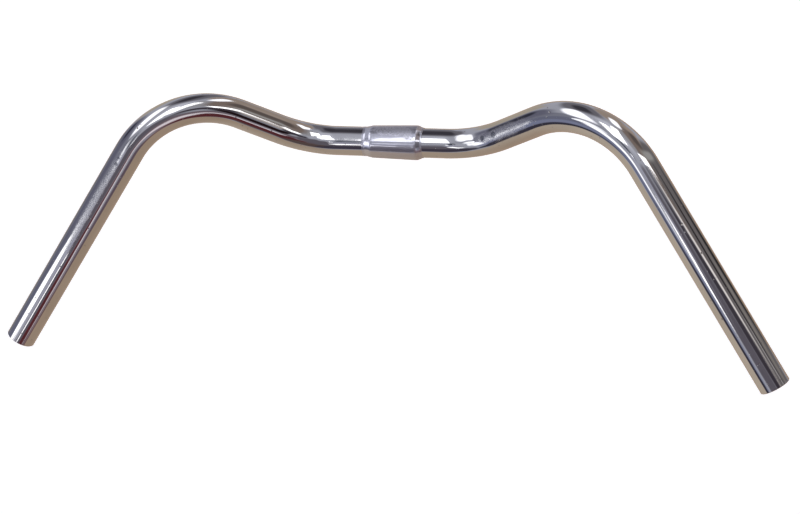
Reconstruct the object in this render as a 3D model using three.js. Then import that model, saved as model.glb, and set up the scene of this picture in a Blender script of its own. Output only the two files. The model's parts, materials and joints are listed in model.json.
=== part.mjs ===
// Swept-back steel handlebar: one bent tube, open at both ends, with a thicker clamp sleeve
// pressed onto its middle.
//
// Millimetres. The origin is the centre of the clamp area. +X runs along the clamp axis to
// the rider's right, +Y points forward and +Z points up. The grips sweep back towards -Y.

import * as THREE from 'three';

// Tube
const TUBE_DIAMETER = 22.2;
const TUBE_WALL = 1.6;
const TUBE_SIDES = 36;

// Bend table, from the clamp centre out to one end. The other half is its mirror image.
const CENTRE_HALF_LENGTH = 41.5;
const RISE_BEND_RADIUS = 80;
const RISE_BEND_ANGLE = 34;
const RISE_PLANE_TILT = 50;
const RISER_LENGTH = 31;
const GRIP_BEND_RADIUS = 3 * TUBE_DIAMETER;
const GRIP_SWEEP_ANGLE = 57.5;
const GRIP_LENGTH = 177.5;
const DEGREES_PER_BEND_STEP = 6;

// Clamp sleeve
const SLEEVE_DIAMETER = 25.4;
const SLEEVE_LENGTH = 46;
const SLEEVE_TAPER_LENGTH = 7;
const SLEEVE_LIP_THICKNESS = 0.5;
const SLEEVE_SIDES = 48;
const SLEEVE_GAP = 0.3;

// Colours
const TUBE_CHROME = 0xb4b4b8;
const SLEEVE_CHROME = 0xb0b1bd;

const radians = THREE.MathUtils.degToRad;

// The tube's centreline, as a list of stations that each hold a point and a direction.
// Point i of the curve is station i, so a straight takes one step and a bend takes several.
class BentTubePath extends THREE.Curve {
  constructor(stations) {
    super();
    this.stations = stations;
  }

  get steps() {
    return this.stations.length - 1;
  }

  blendStations(key, u, target) {
    const place = THREE.MathUtils.clamp(u, 0, 1) * this.steps;
    const index = Math.min(Math.floor(place), this.steps - 1);
    const start = this.stations[index][key];
    const end = this.stations[index + 1][key];
    return target.lerpVectors(start, end, place - index);
  }

  getPoint(u, target = new THREE.Vector3()) {
    return this.blendStations('point', u, target);
  }

  getPointAt(u, target = new THREE.Vector3()) {
    return this.blendStations('point', u, target);
  }

  getTangent(u, target = new THREE.Vector3()) {
    return this.blendStations('direction', u, target).normalize();
  }

  getTangentAt(u, target = new THREE.Vector3()) {
    return this.getTangent(u, target);
  }
}

// Walks along one half of the bar and leaves a station at the end of each step
class TubeBender {
  constructor(point, direction) {
    this.point = point.clone();
    this.direction = direction.clone();
    this.stations = [];
  }

  addStation() {
    this.stations.push({ point: this.point.clone(), direction: this.direction.clone() });
  }

  straight(length) {
    this.point.addScaledVector(this.direction, length);
    this.addStation();
  }

  bendTowards(newDirection, radius) {
    const angle = this.direction.angleTo(newDirection);
    const axis = new THREE.Vector3().crossVectors(this.direction, newDirection).normalize();
    const inward = new THREE.Vector3().crossVectors(axis, this.direction);
    const centre = this.point.clone().addScaledVector(inward, radius);
    const spoke = this.point.clone().sub(centre);
    const startDirection = this.direction.clone();
    const steps = Math.ceil(angle / radians(DEGREES_PER_BEND_STEP));
    for (let step = 1; step <= steps; step += 1) {
      const turn = (angle * step) / steps;
      this.point.copy(spoke).applyAxisAngle(axis, turn).add(centre);
      this.direction.copy(startDirection).applyAxisAngle(axis, turn);
      this.addStation();
    }
  }
}

// Stations of the right-hand half, from the end of the centre straight to the bar end
function rightHalfStations() {
  const alongClamp = new THREE.Vector3(1, 0, 0);
  const rise = radians(RISE_BEND_ANGLE);
  const tilt = radians(RISE_PLANE_TILT);
  const sweep = radians(GRIP_SWEEP_ANGLE);
  const alongRiser = new THREE.Vector3(
    Math.cos(rise),
    Math.sin(rise) * Math.cos(tilt),
    Math.sin(rise) * Math.sin(tilt),
  );
  const alongGrip = new THREE.Vector3(Math.cos(sweep), -Math.sin(sweep), 0);

  const bender = new TubeBender(new THREE.Vector3(), alongClamp);
  bender.straight(CENTRE_HALF_LENGTH);
  bender.bendTowards(alongRiser, RISE_BEND_RADIUS);
  bender.straight(RISER_LENGTH);
  bender.bendTowards(alongGrip, GRIP_BEND_RADIUS);
  bender.straight(GRIP_LENGTH);
  return bender.stations;
}

// The same station on the left-hand half, still facing from left to right
function mirrorStation({ point, direction }) {
  return {
    point: new THREE.Vector3(-point.x, point.y, point.z),
    direction: new THREE.Vector3(direction.x, -direction.y, -direction.z),
  };
}

function barCentreline() {
  const right = rightHalfStations();
  const left = right.map(mirrorStation).reverse();
  return new BentTubePath([...left, ...right]);
}

function chrome(color, roughness) {
  return new THREE.MeshStandardMaterial({ color, roughness, metalness: 1 });
}

function makeBarTube() {
  const outerRadius = TUBE_DIAMETER / 2;
  const section = new THREE.Shape();
  section.absarc(0, 0, outerRadius, 0, 2 * Math.PI, false);
  const bore = new THREE.Path();
  bore.absarc(0, 0, outerRadius - TUBE_WALL, 0, 2 * Math.PI, true);
  section.holes.push(bore);

  // A full circle is drawn with two sides per curve segment
  const path = barCentreline();
  const geometry = new THREE.ExtrudeGeometry(section, {
    extrudePath: path,
    steps: path.steps,
    curveSegments: TUBE_SIDES / 2,
  });
  const tube = new THREE.Mesh(geometry, chrome(TUBE_CHROME, 0.12));
  tube.name = 'bar_tube';
  return tube;
}

// A ring of straight-sided section: a flat clamp band with a cone down to a thin lip each side
function makeCentreSleeve() {
  const boreRadius = TUBE_DIAMETER / 2 + SLEEVE_GAP;
  const lipRadius = boreRadius + SLEEVE_LIP_THICKNESS;
  const bandRadius = SLEEVE_DIAMETER / 2;
  const end = SLEEVE_LENGTH / 2;
  const bandEnd = end - SLEEVE_TAPER_LENGTH;
  const profile = [
    new THREE.Vector2(boreRadius, -end),
    new THREE.Vector2(lipRadius, -end),
    new THREE.Vector2(bandRadius, -bandEnd),
    new THREE.Vector2(bandRadius, bandEnd),
    new THREE.Vector2(lipRadius, end),
    new THREE.Vector2(boreRadius, end),
    new THREE.Vector2(boreRadius, -end),
  ];
  const geometry = new THREE.LatheGeometry(profile, SLEEVE_SIDES);
  const sleeve = new THREE.Mesh(geometry, chrome(SLEEVE_CHROME, 0.18));
  sleeve.name = 'centre_sleeve';
  sleeve.rotation.z = -Math.PI / 2;
  return sleeve;
}

const handlebar = new THREE.Group();
handlebar.name = 'handlebar';
handlebar.add(makeBarTube(), makeCentreSleeve());

export default handlebar;
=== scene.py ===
"""A chromed, swept-back steel handlebar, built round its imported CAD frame.

Everything is in metres, in the frame's own axes: +X along the clamp axis, +Y forward, +Z up.
The tube and its sleeve are made as fine meshes from the same bend table as the CAD part.
"""

import json
import math

import bpy
import numpy as np
from mathutils import Matrix, Vector


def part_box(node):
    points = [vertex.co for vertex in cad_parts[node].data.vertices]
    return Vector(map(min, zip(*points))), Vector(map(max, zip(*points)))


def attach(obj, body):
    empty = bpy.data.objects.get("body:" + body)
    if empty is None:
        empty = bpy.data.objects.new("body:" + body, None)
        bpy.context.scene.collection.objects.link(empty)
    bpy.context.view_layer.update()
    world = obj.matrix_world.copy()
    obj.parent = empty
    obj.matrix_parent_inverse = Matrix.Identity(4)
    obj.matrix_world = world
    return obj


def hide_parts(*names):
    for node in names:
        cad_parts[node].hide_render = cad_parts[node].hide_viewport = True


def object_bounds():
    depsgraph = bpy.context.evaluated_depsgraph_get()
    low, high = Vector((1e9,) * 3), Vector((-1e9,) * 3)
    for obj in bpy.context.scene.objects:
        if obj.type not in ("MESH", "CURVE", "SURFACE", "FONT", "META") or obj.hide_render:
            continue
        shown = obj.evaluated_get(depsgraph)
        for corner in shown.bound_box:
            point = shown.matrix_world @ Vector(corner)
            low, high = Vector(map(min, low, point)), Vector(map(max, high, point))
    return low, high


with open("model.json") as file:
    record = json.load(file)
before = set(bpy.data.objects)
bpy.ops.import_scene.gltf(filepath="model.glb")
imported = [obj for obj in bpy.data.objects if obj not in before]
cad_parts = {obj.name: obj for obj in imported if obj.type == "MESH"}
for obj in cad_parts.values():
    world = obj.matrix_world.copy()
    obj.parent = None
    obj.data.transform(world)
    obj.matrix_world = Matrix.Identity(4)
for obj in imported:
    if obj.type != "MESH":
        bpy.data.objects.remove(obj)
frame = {"record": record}
cad_low, cad_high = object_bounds()

MM = 0.001

# ---------------------------------------------------------------- sizes taken from the frame

tube_low, tube_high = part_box("bar_tube")
sleeve_low, sleeve_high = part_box("centre_sleeve")
mounts = {mount["name"]: mount for mount in frame["record"]["mounts"]}

TUBE_RADIUS = -tube_low.z
GRIP_HEIGHT = tube_high.z - TUBE_RADIUS
SLEEVE_RADIUS = sleeve_high.z
SLEEVE_HALF_LENGTH = sleeve_high.x

# ---------------------------------------------------------------- driving dimensions

TUBE_WALL = 1.6 * MM
TUBE_SIDES = 112
CENTRE_HALF_LENGTH = 41.5 * MM
RISE_BEND_RADIUS = 80 * MM
RISE_BEND_ANGLE = math.radians(34)
RISE_PLANE_TILT = math.radians(50)
RISER_LENGTH = 31 * MM
GRIP_BEND_RADIUS = 6 * TUBE_RADIUS
RING_SPACING = 1.6 * MM

# The pressed-on sleeve sits a little to the right of the middle, and its band has been
# spread wider at the right-hand end
SLEEVE_SHIFT = 1.9 * MM
SLEEVE_BAND_LEFT = -13.4 * MM
SLEEVE_BAND_RIGHT = 20.1 * MM
SLEEVE_SPREAD = 0.45 * MM
SLEEVE_LEFT_LIP = 0.10 * MM
SLEEVE_RIGHT_LIP = 0.40 * MM
SLEEVE_LEFT_FOOT = 0.5 * MM
SLEEVE_RIGHT_FOOT = 0.3 * MM
LEFT_CONE_ROUNDING = 0.3
RIGHT_CONE_ROUNDING = 0.18
CONE_STEPS = 19
BAND_STEPS = 26
SLEEVE_FIT_GAP = 0.02 * MM
SLEEVE_SIDES = 160

# ---------------------------------------------------------------- camera

CAMERA_PLACE = Vector((238.5, 90.35, 1022.25)) * MM
CAMERA_TARGET = Vector((13.9, -82.3, 30.0)) * MM
CAMERA_ROLL = math.radians(0.52)
CAMERA_LENS_MM = 62.7


def make_camera():
    """Looks almost straight down on the bar, from in front and a little to its right."""
    data = bpy.data.cameras.new("camera")
    data.lens = CAMERA_LENS_MM
    data.sensor_width = 36.0
    camera = bpy.data.objects.new("camera", data)
    bpy.context.scene.collection.objects.link(camera)
    back = (CAMERA_PLACE - CAMERA_TARGET).normalized()
    right = Vector((0, 1, 0)).cross(back).normalized()
    up = back.cross(right)
    upright = Matrix((right, up, back)).transposed().to_4x4()
    camera.matrix_world = (
        Matrix.Translation(CAMERA_PLACE) @ upright @ Matrix.Rotation(CAMERA_ROLL, 4, "Z")
    )
    bpy.context.scene.camera = camera


make_camera()

# ---------------------------------------------------------------- centreline


class Bender:
    """Walks along one half of the bar and notes a point, a direction and a bend at each ring."""

    def __init__(self):
        self.point = np.zeros(3)
        self.direction = np.array([1.0, 0.0, 0.0])
        self.points = []
        self.directions = []
        self.pulls = []

    def note(self, pull):
        self.points.append(self.point.copy())
        self.directions.append(self.direction.copy())
        self.pulls.append(pull.copy())

    def straight(self, length):
        steps = math.ceil(length / RING_SPACING)
        start = self.point.copy()
        for step in range(1, steps + 1):
            self.point = start + self.direction * length * step / steps
            self.note(np.zeros(3))

    def bend(self, new_direction, radius):
        old = self.direction.copy()
        angle = math.acos(float(old @ new_direction))
        inward = new_direction - old * (old @ new_direction)
        inward /= np.linalg.norm(inward)
        centre = self.point + inward * radius
        steps = math.ceil(angle * radius / RING_SPACING)
        for step in range(1, steps + 1):
            turn = angle * step / steps
            spoke = old * math.sin(turn) - inward * math.cos(turn)
            self.point = centre + spoke * radius
            self.direction = old * math.cos(turn) + inward * math.sin(turn)
            self.note(-spoke)


def walk_right_half():
    """The right-hand half of the bar, ending on the face that the record's mount names."""
    mount = mounts["right_bar_end"]
    along_grip = np.array(mount["axis"])
    along_grip /= np.linalg.norm(along_grip)
    bar_end = np.array([mount["pos_m"][0], mount["pos_m"][1], GRIP_HEIGHT])
    along_riser = np.array([
        math.cos(RISE_BEND_ANGLE),
        math.sin(RISE_BEND_ANGLE) * math.cos(RISE_PLANE_TILT),
        math.sin(RISE_BEND_ANGLE) * math.sin(RISE_PLANE_TILT),
    ])
    bender = Bender()
    bender.straight(CENTRE_HALF_LENGTH)
    bender.bend(along_riser, RISE_BEND_RADIUS)
    bender.straight(RISER_LENGTH)
    bender.bend(along_grip, GRIP_BEND_RADIUS)
    bender.straight(float((bar_end - bender.point) @ along_grip))
    return np.array(bender.points), np.array(bender.directions), np.array(bender.pulls)


def smoothed(values, half_width):
    """A running mean, so that a bend's ovality fades in and out."""
    window = np.hanning(2 * half_width + 3)[1:-1]
    window /= window.sum()
    padded = np.pad(values, ((half_width, half_width), (0, 0)), mode="edge")
    return np.stack([np.convolve(column, window, "valid") for column in padded.T], axis=1)


def make_path():
    """The whole centreline from left to right, with a cross-section frame at every ring."""
    points, directions, pulls = walk_right_half()
    mirror = np.array([-1.0, 1.0, 1.0])
    middle = np.array([[1.0, 0.0, 0.0]])
    path = {
        "points": np.vstack([points[::-1] * mirror, np.zeros((1, 3)), points]),
        "directions": np.vstack([-directions[::-1] * mirror, middle, directions]),
        "pulls": smoothed(np.vstack([pulls[::-1] * mirror, np.zeros((1, 3)), pulls]), 5),
    }
    count = len(path["points"])
    centre = count // 2
    lengths = np.linalg.norm(np.diff(path["points"], axis=0), axis=1)
    arcs = np.concatenate([[0.0], np.cumsum(lengths)])
    path["arcs"] = arcs - arcs[centre]

    tops = np.zeros((count, 3))
    tops[centre] = (0.0, 0.0, 1.0)
    order = [(i, i - 1) for i in range(centre + 1, count)]
    order += [(i, i + 1) for i in range(centre - 1, -1, -1)]
    for ring, neighbour in order:
        direction = path["directions"][ring]
        top = tops[neighbour] - direction * (tops[neighbour] @ direction)
        tops[ring] = top / np.linalg.norm(top)
    path["tops"] = tops
    path["sides"] = np.cross(path["directions"], tops)
    return path


path = make_path()

# ---------------------------------------------------------------- mesh helpers


def mesh_object(name, vertices, faces, face_materials, unbent, materials, sharp_angle=35):
    """A smooth-shaded mesh with its unbent place kept on each vertex, in millimetres."""
    mesh = bpy.data.meshes.new(name)
    mesh.from_pydata(vertices.tolist(), [], faces.tolist())
    for material in materials:
        mesh.materials.append(material)
    mesh.polygons.foreach_set("material_index", np.asarray(face_materials, np.int32))
    mesh.polygons.foreach_set("use_smooth", np.ones(len(faces), bool))
    mesh.set_sharp_from_angle(angle=math.radians(sharp_angle))
    attribute = mesh.attributes.new("unbent_mm", "FLOAT_VECTOR", "POINT")
    attribute.data.foreach_set("vector", (unbent / MM).astype(np.float32).ravel())
    mesh.validate()
    mesh.update()
    piece = bpy.data.objects.new(name, mesh)
    bpy.context.scene.collection.objects.link(piece)
    return piece


def ring_faces(rings, sides):
    """Quads that join each ring to the next and the last one back to the first."""
    ring = np.arange(rings)[:, None]
    side = np.arange(sides)[None, :]
    next_ring = (ring + 1) % rings
    next_side = (side + 1) % sides
    corners = [
        ring * sides + side,
        next_ring * sides + side,
        next_ring * sides + next_side,
        ring * sides + next_side,
    ]
    return np.stack([np.broadcast_to(c, (rings, sides)) for c in corners], axis=-1).reshape(-1, 4)


# ---------------------------------------------------------------- shape of the tube's skin

# A place on the skin is an arc length from the middle of the bar, in millimetres, and an angle
# round the tube from its top, in degrees. Negative angles are on the front or outer side.

# Shallow flats that the bending dies left: place, length along the bar, spread round the tube
# and depth
DIE_MARKS = (
    (-74, -62, 5.0, 24, 0.10),
    (-66, -20, 6.0, 20, 0.08),
    (-61, -75, 4.5, 22, 0.10),
    (-54, -38, 5.0, 22, 0.08),
    (-47, -84, 4.0, 26, 0.07),
    (49, -70, 4.0, 24, 0.09),
    (56, -28, 5.0, 24, 0.10),
    (63, -66, 4.5, 22, 0.09),
    (70, -30, 4.5, 18, 0.11),
    (83, -42, 5.0, 20, 0.10),
    (-150, 20, 12.0, 40, 0.06),
    (150, -30, 12.0, 40, 0.06),
)
# Wrinkles that the bending left in the rise bends: place of the middle, half length along the
# bar, spread round it, wavelength, slant and height
WRINKLES = (
    (-60, -14, 17, 46, 8.6, 2.2, 0.034),
    (64, -12, 13, 40, 9.5, -2.6, 0.032),
    (92, -8, 22, 30, 7.0, 3.0, 0.012),
)
OVALITY = 0.004
# Round dents: place, size and depth
DENTS = (
    (76.5, -9, 2.0, 0.16),
    (87.5, -10, 2.4, 0.18),
    (109, -6, 1.8, 0.07),
    (-226, -20, 2.0, 0.06),
)
# The seam's bead inside the bore
WELD_BEAD_ANGLE = 140
WELD_BEAD_WIDTH = math.radians(7)
WELD_BEAD_HEIGHT = 0.35 * MM
# The chamfer at each cut end, and the length over which the skin's marks fade out before it
END_CHAMFER = 0.35 * MM
END_FADE = 8 * MM

# The tube's material slots
OUTSIDE, CUT_END, BORE = range(3)


def turn_from(angles, degrees):
    """How far each angle round the tube is from a given one, between -pi and pi."""
    return (angles - math.radians(degrees) + math.pi) % (2 * math.pi) - math.pi


def soft_oval(off_arc, turn, length, spread):
    """1 at the middle of a mark on the skin, fading out past its length and its spread."""
    along = (off_arc / length) ** 2
    across = (turn / math.radians(spread)) ** 2
    return np.exp(-along - across)


def skin_height(arcs, angles, pulls_across, pulls_up):
    """How far the tube's outside stands proud of a true circle at each ring and angle."""
    arc = arcs[:, None] / MM
    around = angles[None, :]
    bend_angle = np.arctan2(pulls_across, pulls_up)[:, None]
    bend_share = np.hypot(pulls_across, pulls_up)[:, None]
    oval = -OVALITY * TUBE_RADIUS * bend_share * np.cos(2 * (around - bend_angle))
    waves = (
        0.006 * np.sin(arc / 6.1 + 2.0 * np.cos(around) + 0.7)
        + 0.005 * np.sin(arc / 9.7 - 3.0 * np.sin(around) + 2.1)
        + 0.004 * np.sin(arc / 3.7 + 4.0 * np.cos(around + 1.0))
    )
    height = oval + waves * MM * (0.35 + bend_share)
    for mark_arc, mark_angle, length, spread, depth in DIE_MARKS:
        turn = turn_from(around, mark_angle)
        height = height - depth * MM * soft_oval(arc - mark_arc, turn, length, spread)
    for mark_arc, mark_angle, length, spread, wavelength, slant, rise in WRINKLES:
        turn = turn_from(around, mark_angle)
        phase = 2 * math.pi * (arc - mark_arc) / wavelength + slant * turn
        share = soft_oval(arc - mark_arc, turn, length, spread)
        height = height + rise * MM * share * np.cos(phase)
    for mark_arc, mark_angle, size, depth in DENTS:
        turn = turn_from(around, mark_angle)
        off = np.hypot(arc - mark_arc, turn * TUBE_RADIUS / MM) / size
        height = height - depth * MM * np.exp(-off ** 2)
    return height


def make_tube(outside, inside, cut):
    """One closed skin: outside, chamfered ends, and the bore with its weld bead."""
    angles = np.arange(TUBE_SIDES) * 2 * math.pi / TUBE_SIDES
    count = len(path["points"])
    pulls_up = (path["pulls"] * path["tops"]).sum(axis=1)
    pulls_across = (path["pulls"] * path["sides"]).sum(axis=1)
    skin = skin_height(path["arcs"], angles, pulls_across, pulls_up)
    near_end = np.minimum(path["arcs"] - path["arcs"][0], path["arcs"][-1] - path["arcs"])
    skin *= np.clip(near_end / END_FADE, 0, 1)[:, None]

    bore_radius = TUBE_RADIUS - TUBE_WALL
    bead_turn = turn_from(angles, WELD_BEAD_ANGLE)
    bead = WELD_BEAD_HEIGHT * np.exp(-((bead_turn / WELD_BEAD_WIDTH) ** 2))

    # Each row is a ring of the path, a shift along it, a radius and a material slot
    edge = END_CHAMFER
    right_end, left_end = count - 1, 0
    rows = [(ring, 0.0, TUBE_RADIUS + skin[ring], OUTSIDE) for ring in range(count)]
    rows[right_end] = (right_end, -edge, TUBE_RADIUS + skin[right_end], OUTSIDE)
    rows[left_end] = (left_end, edge, TUBE_RADIUS + skin[left_end], OUTSIDE)
    rows += [
        (right_end, 0.0, TUBE_RADIUS - edge, CUT_END),
        (right_end, 0.0, bore_radius + edge, CUT_END),
        (right_end, -edge, bore_radius, BORE),
    ]
    rows += [(ring, 0.0, bore_radius - bead, BORE) for ring in range(count - 2, 0, -2)]
    rows += [
        (left_end, edge, bore_radius, BORE),
        (left_end, 0.0, bore_radius + edge, CUT_END),
        (left_end, 0.0, TUBE_RADIUS - edge, CUT_END),
    ]

    rings, sides = len(rows), TUBE_SIDES
    vertices = np.zeros((rings, sides, 3))
    unbent = np.zeros((rings, sides, 3))
    for index, (ring, shift, radius, _) in enumerate(rows):
        radius = np.broadcast_to(radius, (sides,))[:, None]
        spokes = np.cos(angles)[:, None] * path["tops"][ring]
        spokes = spokes + np.sin(angles)[:, None] * path["sides"][ring]
        middle = path["points"][ring] + path["directions"][ring] * shift
        vertices[index] = middle + spokes * radius
        unbent[index, :, 0] = path["arcs"][ring] + shift
        unbent[index, :, 1:] = np.stack([np.sin(angles), np.cos(angles)], axis=1) * radius

    # Faces between two slots take the later one, but the right outer chamfer stays plated
    slots = np.array([row[3] for row in rows])
    next_slots = np.roll(slots, -1)
    row_slots = np.maximum(slots, next_slots)
    row_slots[(slots == OUTSIDE) & (next_slots == CUT_END)] = OUTSIDE
    faces = ring_faces(rings, sides)[:, ::-1]
    return mesh_object(
        "bar_tube_skin", vertices.reshape(-1, 3), faces, np.repeat(row_slots, sides),
        unbent.reshape(-1, 3), [outside, cut, inside],
    )


# ---------------------------------------------------------------- clamp sleeve

BURR_HEIGHT = 0.11 * MM
BURR_WIDTH = 0.9 * MM
BURR_INSET = 0.6 * MM


def ease(share, rounding):
    """A rise from 0 to 1: straight in the middle and rounded off over a share of each end."""
    height = 2 * rounding * (1 - rounding)
    if share < rounding:
        return share * share / height
    if share > 1 - rounding:
        return 1 - (1 - share) ** 2 / height
    return (share - rounding / 2) / (1 - rounding)


def ramp_points(start, end, rounding, steps):
    """Points on a rounded ramp from one (along the bar, radius) pair to another."""
    return [
        (
            start[0] + (end[0] - start[0]) * share,
            start[1] + (end[1] - start[1]) * ease(share, rounding),
        )
        for share in np.linspace(0, 1, steps)
    ]


def lip_points(end, inward, lip):
    """A rounded lip, from the tube's surface up to the foot of the cone."""
    return [
        (
            end + inward * lip * (1 - math.cos(turn)),
            TUBE_RADIUS + lip * math.sin(turn),
        )
        for turn in np.linspace(0.1, math.pi / 2, 6)
    ]


def sleeve_profile():
    """The sleeve's outside from its left lip to its right lip, as (along the bar, radius)."""
    left_end = SLEEVE_SHIFT - SLEEVE_HALF_LENGTH
    right_end = SLEEVE_SHIFT + SLEEVE_HALF_LENGTH
    left_lip = lip_points(left_end, 1, SLEEVE_LEFT_LIP)
    right_lip = lip_points(right_end, -1, SLEEVE_RIGHT_LIP)
    left_foot = (left_lip[-1][0] + SLEEVE_LEFT_FOOT, left_lip[-1][1])
    right_foot = (right_lip[-1][0] - SLEEVE_RIGHT_FOOT, right_lip[-1][1])
    left_shoulder = (SLEEVE_BAND_LEFT, SLEEVE_RADIUS)
    right_shoulder = (SLEEVE_BAND_RIGHT, SLEEVE_RADIUS)
    band = [
        (SLEEVE_BAND_LEFT + (SLEEVE_BAND_RIGHT - SLEEVE_BAND_LEFT) * share, SLEEVE_RADIUS)
        for share in np.linspace(0, 1, BAND_STEPS + 1)[1:-1]
    ]
    left_cone = ramp_points(left_foot, left_shoulder, LEFT_CONE_ROUNDING, CONE_STEPS)
    right_cone = ramp_points(right_shoulder, right_foot, RIGHT_CONE_ROUNDING, CONE_STEPS)
    return left_lip + left_cone + band + right_cone + right_lip[::-1]


def sleeve_skin_height(along, angles):
    """How far the sleeve's outside stands proud of its profile at each place and angle."""
    millimetres = along / MM
    waves = (
        0.009 * np.sin(millimetres / 5.3 + 2.0 * np.cos(angles) + 0.4)
        + 0.004 * np.sin(millimetres / 2.6 - 3.0 * np.sin(angles) + 1.9)
        + 0.012 * np.cos(3 * angles + millimetres / 11)
    )
    from_ends = SLEEVE_HALF_LENGTH - np.abs(along - SLEEVE_SHIFT)
    on_band = np.clip(from_ends / (5 * MM), 0, 1)
    # The clamp has squeezed the band oval: wider from front to back towards the right
    band_middle = (SLEEVE_BAND_LEFT + SLEEVE_BAND_RIGHT) / 2
    band_half = (SLEEVE_BAND_RIGHT - SLEEVE_BAND_LEFT) / 2
    lean = np.clip((along - band_middle) / band_half, -1, 1)
    spread = SLEEVE_SPREAD * lean * np.sin(angles) ** 2 * np.clip(from_ends / (7 * MM), 0, 1)
    # A ragged burr round the right-hand edge of the band
    ragged = 0.55 + 0.30 * np.sin(17 * angles) + 0.25 * np.sin(29 * angles + 1.0)
    off_burr = (along - SLEEVE_BAND_RIGHT + BURR_INSET) / BURR_WIDTH
    burr = BURR_HEIGHT * np.clip(ragged, 0, 1) * np.exp(-off_burr ** 2)
    return burr + spread - np.abs(waves) * MM * on_band


def make_sleeve(outside):
    """A closed ring: the worn outside, rounded lips and a plain bore that hugs the tube."""
    outer = sleeve_profile()
    bore_ends = np.linspace(outer[-1][0], outer[0][0], 5)
    bore = [(x, TUBE_RADIUS + SLEEVE_FIT_GAP) for x in bore_ends]
    profile = np.array(outer + bore)

    angles = np.arange(SLEEVE_SIDES) * 2 * math.pi / SLEEVE_SIDES
    along = profile[:, 0][:, None]
    outside_rows = (np.arange(len(profile)) < len(outer))[:, None]
    radius = profile[:, 1][:, None] + sleeve_skin_height(along, angles) * outside_rows

    places = np.stack([
        along + 0 * radius,
        -radius * np.sin(angles),
        radius * np.cos(angles),
    ], axis=-1)
    unbent = places * np.array([1, -1, 1])
    faces = ring_faces(len(profile), SLEEVE_SIDES)[:, ::-1]
    return mesh_object(
        "centre_sleeve_skin", places.reshape(-1, 3), faces, np.zeros(len(faces)),
        unbent.reshape(-1, 3), [outside], sharp_angle=50,
    )


# ---------------------------------------------------------------- material helpers


class Nodes:
    """A short way to write a node tree."""

    def __init__(self, tree):
        self.tree = tree
        self.tree.nodes.clear()

    def add(self, kind, inputs=None, **settings):
        node = self.tree.nodes.new(kind)
        for key, value in settings.items():
            setattr(node, key, value)
        for key, value in (inputs or {}).items():
            self.feed(node.inputs[key], value)
        return node

    def feed(self, socket, value):
        if isinstance(value, bpy.types.NodeSocket):
            self.tree.links.new(value, socket)
        else:
            socket.default_value = value

    def math(self, operation, first, second=0.0, third=0.0, clamp=False):
        node = self.add("ShaderNodeMath", {0: first, 1: second, 2: third}, operation=operation)
        node.use_clamp = clamp
        return node.outputs[0]

    def scaled(self, vector, scale):
        inputs = {0: vector, 1: scale}
        return self.add("ShaderNodeVectorMath", inputs, operation="MULTIPLY").outputs[0]

    def ramp(self, value, low, high, out_low=0.0, out_high=1.0):
        inputs = {"Value": value, 1: low, 2: high, 3: out_low, 4: out_high}
        node = self.add("ShaderNodeMapRange", inputs, interpolation_type="SMOOTHSTEP")
        return node.outputs[0]

    def mix_color(self, factor, first, second):
        node = self.add("ShaderNodeMix", data_type="RGBA")
        self.feed(node.inputs[0], factor)
        self.feed(node.inputs[6], first)
        self.feed(node.inputs[7], second)
        return node.outputs[2]

    def noise(self, vector, scale, detail=2.0, roughness=0.5):
        inputs = {"Vector": vector, "Scale": scale, "Detail": detail, "Roughness": roughness}
        return self.add("ShaderNodeTexNoise", inputs).outputs["Fac"]


def new_material(name):
    """A material with an empty node tree, and the short way to write it."""
    material = bpy.data.materials.new(name)
    material.use_nodes = True
    return material, Nodes(material.node_tree)


def spots(nodes, place, scale, share, size):
    """Small round spots, one in share of the cells of a Voronoi pattern."""
    inputs = {"Vector": place, "Scale": scale}
    cells = nodes.add("ShaderNodeTexVoronoi", inputs)
    chosen = nodes.add("ShaderNodeSeparateColor", {0: cells.outputs["Color"]}).outputs[0]
    inside = nodes.ramp(cells.outputs["Distance"], size, size * 0.35)
    return nodes.math("MULTIPLY", inside, nodes.math("LESS_THAN", chosen, share))


def patch(nodes, place, middle, angle, half_length, half_turn, soft):
    """1 inside a ragged oval patch, in millimetres along the bar and degrees round it."""
    x, y, z = nodes.add("ShaderNodeSeparateXYZ", {0: place}).outputs
    turn = nodes.math("SUBTRACT", nodes.math("ARCTAN2", y, z), math.radians(angle))
    across = nodes.math("DIVIDE", turn, math.radians(half_turn))
    along = nodes.math("DIVIDE", nodes.math("SUBTRACT", x, middle), half_length)
    squares = nodes.math("MULTIPLY_ADD", across, across, nodes.math("MULTIPLY", along, along))
    ragged = nodes.noise(nodes.scaled(place, (0.14, 0.3, 0.3)), 1.0, 3.0)
    reach = nodes.math("ADD", nodes.math("SQRT", squares), nodes.math("SUBTRACT", ragged, 0.5))
    return nodes.ramp(reach, 1 + soft, 1 - soft)


def chip_or_shade_spot(nodes, place, arc, angle, size):
    """1 inside one small round spot: a chip in the plating, or a spot of painted dent shade."""
    turn = math.radians(angle)
    spot = (arc, TUBE_RADIUS / MM * math.sin(turn), TUBE_RADIUS / MM * math.cos(turn))
    off = nodes.add("ShaderNodeVectorMath", {0: place, 1: spot}, operation="DISTANCE")
    return nodes.ramp(off.outputs["Value"], size, size * 0.5)


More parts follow.
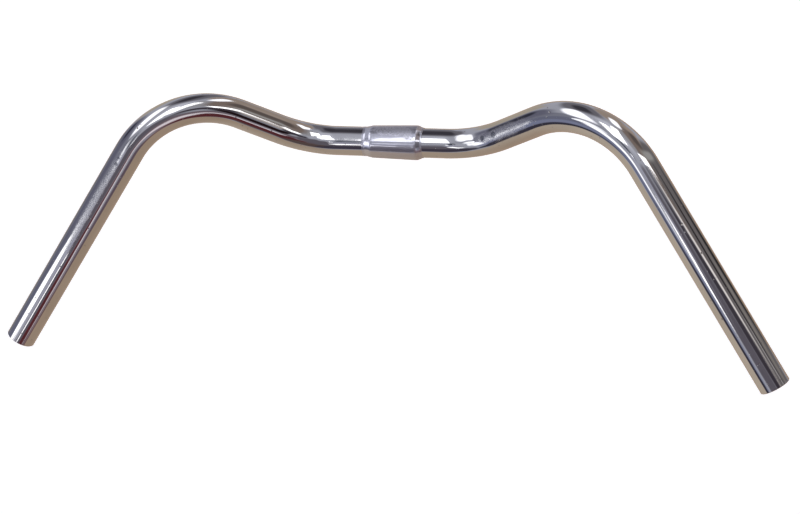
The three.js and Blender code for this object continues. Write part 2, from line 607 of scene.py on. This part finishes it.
def chrome_material(
    name, tint, polish_range, wave_strength, veil=0.0, patches=(), nicks=(), painted_shade_spots=()
):
    """Bright chrome with polishing lines, handling scratches, pits, smears and worn patches.

    A patch is a place on the skin, a half length, a half turn and the softness of its edge. A
    nick, where the plating is chipped, and a spot of painted shade, as at a dent, are a place and
    a size.
    """
    material, nodes = new_material(name)
    place = nodes.add("ShaderNodeAttribute", attribute_name="unbent_mm").outputs["Vector"]

    smear = nodes.noise(nodes.scaled(place, (0.035, 0.12, 0.12)), 1.0, 3.0)
    polish = nodes.noise(nodes.scaled(place, (0.05, 3.0, 3.0)), 1.0, 3.0, 0.6)
    hairlines = nodes.noise(nodes.scaled(place, (0.25, 7.0, 7.0)), 1.0, 4.0, 0.7)
    off_line = nodes.math("ABSOLUTE", nodes.math("SUBTRACT", hairlines, 0.5))
    where = nodes.ramp(nodes.noise(nodes.scaled(place, (0.05, 0.2, 0.2)), 1.0), 0.52, 0.66)
    scratches = nodes.math("MULTIPLY", nodes.ramp(off_line, 0.012, 0.0), where)

    worn = 0.0
    for size in patches:
        worn = nodes.math("MAXIMUM", worn, patch(nodes, place, *size))
    pits = spots(nodes, place, 0.42, 0.10, 0.22)
    for size in nicks:
        pits = nodes.math("MAXIMUM", pits, chip_or_shade_spot(nodes, place, *size))
    fine_pits = nodes.math("MULTIPLY", spots(nodes, place, 1.3, 0.6, 0.45), worn)
    # Painted shade: dark bluish spots in the colour where the dents are
    painted_shade_share = 0.0
    for size in painted_shade_spots:
        painted_shade_share = nodes.math("MAXIMUM", painted_shade_share, chip_or_shade_spot(nodes, place, *size))

    dull_tint = [c * 0.93 for c in tint]
    color = nodes.mix_color(nodes.ramp(smear, 0.3, 0.7), (*tint, 1), (*dull_tint, 1))
    color = nodes.mix_color(nodes.math("MULTIPLY", fine_pits, 0.4), color, (0.30, 0.29, 0.31, 1))
    # The painted dent shade, mixed into the colour
    color = nodes.mix_color(nodes.math("MULTIPLY", painted_shade_share, 0.75), color, (0.13, 0.14, 0.17, 1))
    color = nodes.mix_color(pits, color, (0.16, 0.14, 0.13, 1))

    grain = nodes.noise(nodes.scaled(place, (0.7, 1.3, 1.3)), 1.0, 3.0, 0.7)
    roughness = nodes.ramp(smear, 0.35, 0.75, *polish_range)
    roughness = nodes.math("MULTIPLY_ADD", scratches, 0.18, roughness)
    roughness = nodes.math("MULTIPLY_ADD", pits, 0.35, roughness)
    rubbed = nodes.math("MULTIPLY", worn, nodes.ramp(grain, 0.3, 0.7, 0.10, 0.26))
    roughness = nodes.math("ADD", roughness, rubbed, clamp=True)

    orange_peel = nodes.noise(nodes.scaled(place, (0.28, 0.45, 0.45)), 1.0, 2.0)
    height = nodes.math("MULTIPLY", orange_peel, wave_strength)
    height = nodes.math("MULTIPLY_ADD", polish, 0.00045, height)
    height = nodes.math("MULTIPLY_ADD", scratches, -0.0012, height)
    height = nodes.math("MULTIPLY_ADD", nodes.math("MULTIPLY", grain, worn), 0.022, height)
    height = nodes.math("MULTIPLY_ADD", fine_pits, -0.03, height)
    height = nodes.math("MULTIPLY_ADD", pits, -0.05, height)
    bump = nodes.add("ShaderNodeBump", {"Strength": 1.0, "Distance": MM, "Height": height})

    shader = nodes.add("ShaderNodeBsdfPrincipled", {
        "Base Color": color, "Metallic": 1.0, "Roughness": roughness, "Normal": bump.outputs[0],
    })
    # Scratches too fine to see one by one spread part of the light widely
    scratched = nodes.add("ShaderNodeBsdfPrincipled", {
        "Base Color": color, "Metallic": 1.0, "Roughness": 0.55, "Normal": bump.outputs[0],
    })
    haze = nodes.ramp(smear, 0.3, 0.7, veil * 0.7, veil * 1.2)
    share = nodes.math("MULTIPLY_ADD", worn, 0.25, haze)
    finish = nodes.add("ShaderNodeMixShader", {
        0: share, 1: shader.outputs[0], 2: scratched.outputs[0],
    })
    nodes.add("ShaderNodeOutputMaterial", {"Surface": finish.outputs[0]})
    return material


def cut_face_material():
    """The sawn ring at each end of the tube, plated over its saw marks."""
    material, nodes = new_material("cut_end")
    place = nodes.add("ShaderNodeAttribute", attribute_name="unbent_mm").outputs["Vector"]
    marks = nodes.noise(nodes.scaled(place, (1.0, 9.0, 0.8)), 1.0, 3.0)
    roughness = nodes.ramp(marks, 0.3, 0.7, 0.22, 0.42)
    bump = nodes.add("ShaderNodeBump", {"Strength": 0.5, "Distance": 0.03 * MM, "Height": marks})
    color = nodes.mix_color(marks, (0.50, 0.50, 0.51, 1), (0.60, 0.60, 0.62, 1))
    shader = nodes.add("ShaderNodeBsdfPrincipled", {
        "Base Color": color, "Metallic": 1.0, "Roughness": roughness, "Normal": bump.outputs[0],
    })
    nodes.add("ShaderNodeOutputMaterial", {"Surface": shader.outputs[0]})
    return material


def bore_material(end_arc_mm):
    """Bare steel inside the tube: thinly plated near the mouths, dull and brown deeper in."""
    material, nodes = new_material("bore_steel")
    place = nodes.add("ShaderNodeAttribute", attribute_name="unbent_mm").outputs["Vector"]
    arc = nodes.add("ShaderNodeSeparateXYZ", {0: place}).outputs[0]
    depth = nodes.math("SUBTRACT", end_arc_mm, nodes.math("ABSOLUTE", arc))
    drawn = nodes.noise(nodes.scaled(place, (0.08, 1.4, 1.4)), 1.0, 4.0)
    stain = nodes.noise(nodes.scaled(place, (0.12, 0.3, 0.3)), 1.0, 4.0, 0.6)
    ragged = nodes.math("MULTIPLY_ADD", stain, 22.0, nodes.math("SUBTRACT", depth, 11.0))
    bare = nodes.ramp(ragged, 4.0, 16.0)
    rust = nodes.math("MULTIPLY", nodes.ramp(stain, 0.52, 0.68), bare)
    steel = nodes.mix_color(drawn, (0.20, 0.19, 0.18, 1), (0.34, 0.33, 0.32, 1))
    color = nodes.mix_color(bare, (0.50, 0.50, 0.51, 1), steel)
    color = nodes.mix_color(rust, color, (0.17, 0.085, 0.045, 1))
    roughness = nodes.math("MULTIPLY_ADD", bare, 0.3, nodes.ramp(drawn, 0.3, 0.7, 0.2, 0.34))
    metallic = nodes.math("SUBTRACT", 1.0, nodes.math("MULTIPLY", rust, 0.8))
    height = nodes.math("MULTIPLY_ADD", stain, 0.4, drawn)
    bump = nodes.add("ShaderNodeBump", {"Strength": 0.6, "Distance": 0.05 * MM, "Height": height})
    shader = nodes.add("ShaderNodeBsdfPrincipled", {
        "Base Color": color, "Metallic": metallic, "Roughness": roughness,
        "Normal": bump.outputs[0],
    })
    nodes.add("ShaderNodeOutputMaterial", {"Surface": shader.outputs[0]})
    return material


# ---------------------------------------------------------------- the pieces


def make_pieces():
    """The tube and the sleeve, each in the place of its CAD node."""
    end_arc_mm = float(path["arcs"][-1]) / MM
    tube_chrome = chrome_material(
        "tube_chrome", (0.60, 0.60, 0.615), (0.035, 0.075), 0.004,
        patches=((-262, -23, 42, 15, 0.35), (98, -8, 23, 26, 0.35)),
        nicks=(
            (261, -33, 0.9), (285, -41, 0.8), (243, 12, 0.6), (332, 20, 0.7), (371, -14, 0.6),
            (-352, -30, 0.6), (-196, -35, 0.8), (138, -24, 0.7),
        ),
        # Spots of painted shade at the dents
        painted_shade_spots=((76.5, -9, 2.7), (87.5, -10, 3.2), (-226, -20, 1.8), (-221, -22, 1.4)),
    )
    sleeve_chrome = chrome_material(
        "sleeve_chrome", (0.60, 0.605, 0.68), (0.08, 0.13), 0.003, veil=0.40,
        patches=((14.5, -38, 3.5, 24, 0.35), (2, -50, 16, 22, 0.12)),
        # Spots of painted shade near the right-hand end of the band
        painted_shade_spots=((22.4, -36, 2.0), (22.4, -46, 2.0), (22.4, 17, 1.5)),
    )
    tube = make_tube(tube_chrome, bore_material(end_arc_mm), cut_face_material())
    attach(tube, "root")
    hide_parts("bar_tube")

    sleeve = make_sleeve(sleeve_chrome)
    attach(sleeve, "root")
    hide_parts("centre_sleeve")


make_pieces()

# ---------------------------------------------------------------- studio

FLOOR_DROP = 0.35
FLOOR_SIZE = 12.0


def make_floor():
    """A plain pale floor, well below the bar. Mirror reflections see the studio instead."""
    mesh = bpy.data.meshes.new("floor")
    half = FLOOR_SIZE / 2
    height = cad_low.z - FLOOR_DROP
    corners = ((-half, -half), (half, -half), (half, half), (-half, half))
    mesh.from_pydata([(x, y, height) for x, y in corners], [], [(0, 1, 2, 3)])
    floor = bpy.data.objects.new("floor", mesh)
    bpy.context.scene.collection.objects.link(floor)
    material, nodes = new_material("pale_floor")
    shader = nodes.add("ShaderNodeBsdfPrincipled", {
        "Base Color": (0.9, 0.9, 0.9, 1), "Roughness": 0.9,
        "Emission Color": (1, 1, 1, 1), "Emission Strength": 0.55,
    })
    nodes.add("ShaderNodeOutputMaterial", {"Surface": shader.outputs[0]})
    mesh.materials.append(material)
    floor.visible_glossy = False


# Long lamps under the ceiling: centre, width and length in metres, and the turn of the long
# side from +Y in degrees
LAMPS = (
    ("lamp_over_clamp", (-0.36, 1.02, 2.0), (0.385, 1.42), 0),
    ("lamp_over_clamp_front", (0.13, 1.44, 2.0), (0.42, 1.95), -17),
    ("lamp_right", (1.36, 0.80, 2.0), (0.38, 1.35), -64),
    ("lamp_back_left", (-0.75, -1.10, 2.0), (0.18, 0.70), -35),
    ("lamp_small_back", (-0.465, -0.27, 2.0), (0.05, 0.16), -25),
)
LAMP_RADIANCE = 2.1

# Lamps behind a grid, which only shine where they are aimed: place and target in metres,
# width and length, the angle of the grid and the brightness
GRID_LAMPS = (
    (
        "grid_lamp_left_grip", (-0.470, -0.112, 0.238), (-0.262, -0.112, 0.06),
        (0.13, 0.165), 94, 2.3,
    ),
    (
        "grid_lamp_sleeve", (-0.208, -0.046, 0.168), (-0.042, -0.007, 0.0),
        (0.17, 0.085), 50, 3.0,
    ),
    (
        "grid_lamp_left", (-0.58, 0.03, 1.0), (0.22, 0.03, 0.06),
        (0.36, 0.36), 26, 2.1,
    ),
)

# What else the chrome mirrors: blurred plain panels that stand for a quiet grey room, a tan
# bench, and dark screens on the near side. A direction is given by two angles, as on a round
# map of the sky: its distance from straight up, split into a part towards +X and a part towards
# +Y. Each panel has such a centre, half sizes, a turn, an edge softness (all in degrees) and
# the shade it shows in the chrome. A later panel covers an earlier one.
CHROME_REFLECTANCE = 0.6
DISPLAY_GAMMA = 2.2
WHITE = (278, 278, 284)
PANELS = (
    # Walls and ceiling
    ("left_wall", -70, -4, 34, 30, 0, 14, (97, 99, 115)),
    ("left_ceiling", -50, 18, 24, 12, -15, 10, (112, 113, 124)),
    ("left_corner", -80, 38, 26, 26, 0, 16, (92, 92, 106)),
    ("left_far_corner", -79, 43, 8, 12, 0, 7, (50, 50, 60)),
    ("ceiling_glow", -4, 36, 11, 26, 0, 10, (176, 177, 186)),
    ("front_wall", -20, 98, 26, 36, 0, 12, (98, 96, 102)),
    ("front_dark", -20, 90, 11, 19, 0, 8, (58, 56, 62)),
    ("front_tan", 32, 104, 26, 32, 0, 9, (138, 125, 115)),
    ("right_wall", 74, 42, 56, 32, 30, 14, (97, 93, 93)),
    ("ceiling_right", 14, 40, 8, 22, 0, 8, (140, 139, 142)),
    ("ceiling_brown", 35, 48, 15, 32, 0, 9, (112, 100, 93)),
    ("right_light", 62, 45, 28, 6, 28, 6, (142, 140, 137)),
    ("overhead", -3, -22, 23, 14, 40, 6, (88, 84, 91)),
    ("overhead_left", -18, -2, 3.5, 8, 0, 5, (62, 66, 76)),
    ("overhead_back", -18, -13, 7, 4, -45, 4, (150, 150, 164)),
    # Bench on the near side and beyond the bar
    ("bench_near", -8, -74, 22, 7, 0, 5, (144, 128, 113)),
    ("left_low", -120, 20, 22, 26, 0, 10, (104, 104, 112)),
    ("bench_left", -94, 86, 26, 22, 40, 14, (155, 146, 133)),
    ("bench_right", 56, 82, 10, 20, -14, 8, (146, 132, 122)),
    # Right-hand side, which the right grip mirrors
    ("door_frame", 113, 46, 17, 7, -12, 6, (44, 42, 42)),
    ("door_edge", 86, 34, 8, 5, 23, 5, (120, 115, 110)),
    ("dark_post", 66, 29, 5, 6, 23, 5, (40, 35, 36)),
    ("shelf_glint", 63, 21, 3, 3, 18, 3, (150, 146, 145)),
    ("brown_shelf", 46, 62, 9, 17, -20, 8, (86, 78, 74)),
    ("dark_ceiling", 24, 2, 14, 7, 20, 5, (60, 56, 62)),
    ("pink_shelf", 42, 5, 3, 4, 0, 3, (170, 160, 155)),
    # Dark, dark red and brown screens on the near side
    ("screen_shade", 19, -26, 6, 9, 0, 5, (98, 86, 92)),
    ("dark_screen", 31, -17, 7, 16, 8, 5, (34, 24, 26)),
    ("maroon_screen", 14, -50, 13, 20, 22, 6, (80, 43, 46)),
    ("maroon_screen_low", 42, -67, 10, 17, 35, 7, (102, 78, 78)),
    ("purple_shade", 40, -52, 6, 12, 38, 6, (90, 78, 86)),
    ("brown_shade", -5, -52, 13, 14, 0, 6, (80, 68, 66)),
    ("bright_gap", 22, -40, 1.8, 9, 13, 2.5, (214, 204, 208)),
    # Back left
    ("back_left", -52, -32, 20, 12, -45, 8, (112, 116, 138)),
    ("navy_shade", -43, -52, 15, 9, -40, 5, (54, 52, 62)),
    ("navy_middle", -20, -50, 10, 13, 0, 5, (60, 56, 66)),
    # Windows and the doorway
    ("window_left", -38, -19, 5, 12, 4, 3, WHITE),
    ("window_left_front", -36, 42, 10, 25, 4, 5, WHITE),
    ("doorway", 23, 80, 7, 16, -16, 4, WHITE),
    ("lamp_thin", 38, 14, 8, 2.6, 6, 3, (222, 216, 212)),
)
BENCH_TILT = math.radians(20)
BENCH_SHADE = (145, 127, 110)
BENCH_SHADE_LEFT = (164, 152, 137)
SKY_SHADE = (150, 151, 160)


def area_lamp(name, shape, place, size, energy):
    """A soft lamp that the camera doesn't see."""
    data = bpy.data.lights.new(name, "AREA")
    data.shape = shape
    data.size, data.size_y = size
    data.energy = energy
    lamp = bpy.data.objects.new(name, data)
    bpy.context.scene.collection.objects.link(lamp)
    lamp.location = place
    lamp.visible_camera = False
    return lamp


def make_lamps():
    """Long lamps that shine straight down, which the chrome shows as white patches."""
    for name, place, (width, length), turn in LAMPS:
        energy = LAMP_RADIANCE * math.pi * width * length
        lamp = area_lamp(name, "RECTANGLE", place, (width, length), energy)
        lamp.rotation_euler = (0, 0, math.radians(turn))


def make_grid_lamps():
    """Small round lamps behind grids, each aimed at one stretch of the bar."""
    for name, place, target, (width, length), spread, brightness in GRID_LAMPS:
        half = math.radians(spread) / 2
        grid_share = (math.tan(half) - half) / math.tan(half)
        area = math.pi / 4 * width * length
        energy = brightness * math.pi * area * grid_share
        lamp = area_lamp(name, "ELLIPSE", place, (width, length), energy)
        lamp.data.spread = math.radians(spread)
        aim = Vector(target) - Vector(place)
        lamp.rotation_euler = aim.to_track_quat("-Z", "Y").to_euler()


def radiance(shade):
    """The light that the chrome must mirror to show a given display shade, 0 to 255."""
    return tuple((level / 255) ** DISPLAY_GAMMA / CHROME_REFLECTANCE for level in shade)


def panel_mask(nodes, east, north, across, along, turn, soft):
    """1 inside a rounded rectangle on the map of directions, 0 outside it."""
    cos, sin = math.cos(math.radians(turn)), math.sin(math.radians(turn))
    x = nodes.math("MULTIPLY_ADD", east, cos / across, nodes.math("MULTIPLY", north, sin / across))
    y = nodes.math("MULTIPLY_ADD", north, cos / along, nodes.math("MULTIPLY", east, -sin / along))
    x = nodes.math("POWER", nodes.math("ABSOLUTE", x), 3.0)
    y = nodes.math("POWER", nodes.math("ABSOLUTE", y), 3.0)
    reach = nodes.math("POWER", nodes.math("ADD", x, y), 1 / 3)
    edge = soft / min(across, along)
    return nodes.ramp(reach, 1 + edge / 2, max(0.0, 1 - edge / 2))


def make_world():
    """The room as the chrome mirrors it. The camera itself sees only a plain pale background."""
    world = bpy.data.worlds.new("studio")
    world.use_nodes = True
    bpy.context.scene.world = world
    nodes = Nodes(world.node_tree)
    direction = nodes.add("ShaderNodeTexCoord").outputs["Generated"]
    x, y, z = nodes.add("ShaderNodeSeparateXYZ", {0: direction}).outputs
    down = nodes.math("MULTIPLY", nodes.math("ARCCOSINE", z), math.degrees(1))
    flat = nodes.math("SQRT", nodes.math("SUBTRACT", 1.0001, nodes.math("MULTIPLY", z, z)))
    stretch = nodes.math("DIVIDE", down, flat)
    east_all = nodes.math("MULTIPLY", x, stretch)
    north_all = nodes.math("MULTIPLY", y, stretch)

    color = (*radiance(SKY_SHADE), 1)
    for name, east, north, across, along, turn, soft, shade in PANELS:
        from_east = nodes.math("SUBTRACT", east_all, east)
        from_north = nodes.math("SUBTRACT", north_all, north)
        mask = panel_mask(nodes, from_east, from_north, across, along, turn, soft)
        color = nodes.mix_color(mask, color, (*radiance(shade), 1))
        color.node.label = name

    # The tan bench: below a tilted horizon on the near side, and all round straight underneath
    up = Vector((0, math.sin(BENCH_TILT), math.cos(BENCH_TILT)))
    bench = nodes.add("ShaderNodeVectorMath", {0: direction, 1: up}, operation="DOT_PRODUCT")
    height = bench.outputs["Value"]
    near = nodes.math("MULTIPLY", nodes.ramp(height, 0.02, -0.03), nodes.ramp(y, 0.05, -0.10))
    under = nodes.ramp(height, -0.50, -0.62)
    to_right = nodes.ramp(x, -0.7, 0.1)
    left_color = (*radiance(BENCH_SHADE_LEFT), 1)
    bench_color = nodes.mix_color(to_right, left_color, (*radiance(BENCH_SHADE), 1))
    color = nodes.mix_color(nodes.math("MAXIMUM", near, under), color, bench_color)
    camera_ray = nodes.add("ShaderNodeLightPath").outputs["Is Camera Ray"]
    room = nodes.add("ShaderNodeBackground", {"Color": color})
    plain = nodes.add("ShaderNodeBackground", {"Color": (0.93, 0.93, 0.93, 1)})
    inputs = {0: camera_ray, 1: room.outputs[0], 2: plain.outputs[0]}
    both = nodes.add("ShaderNodeMixShader", inputs)
    nodes.add("ShaderNodeOutputWorld", {"Surface": both.outputs[0]})


bpy.context.scene.view_settings.view_transform = "Standard"
make_floor()
make_lamps()
make_grid_lamps()
make_world()
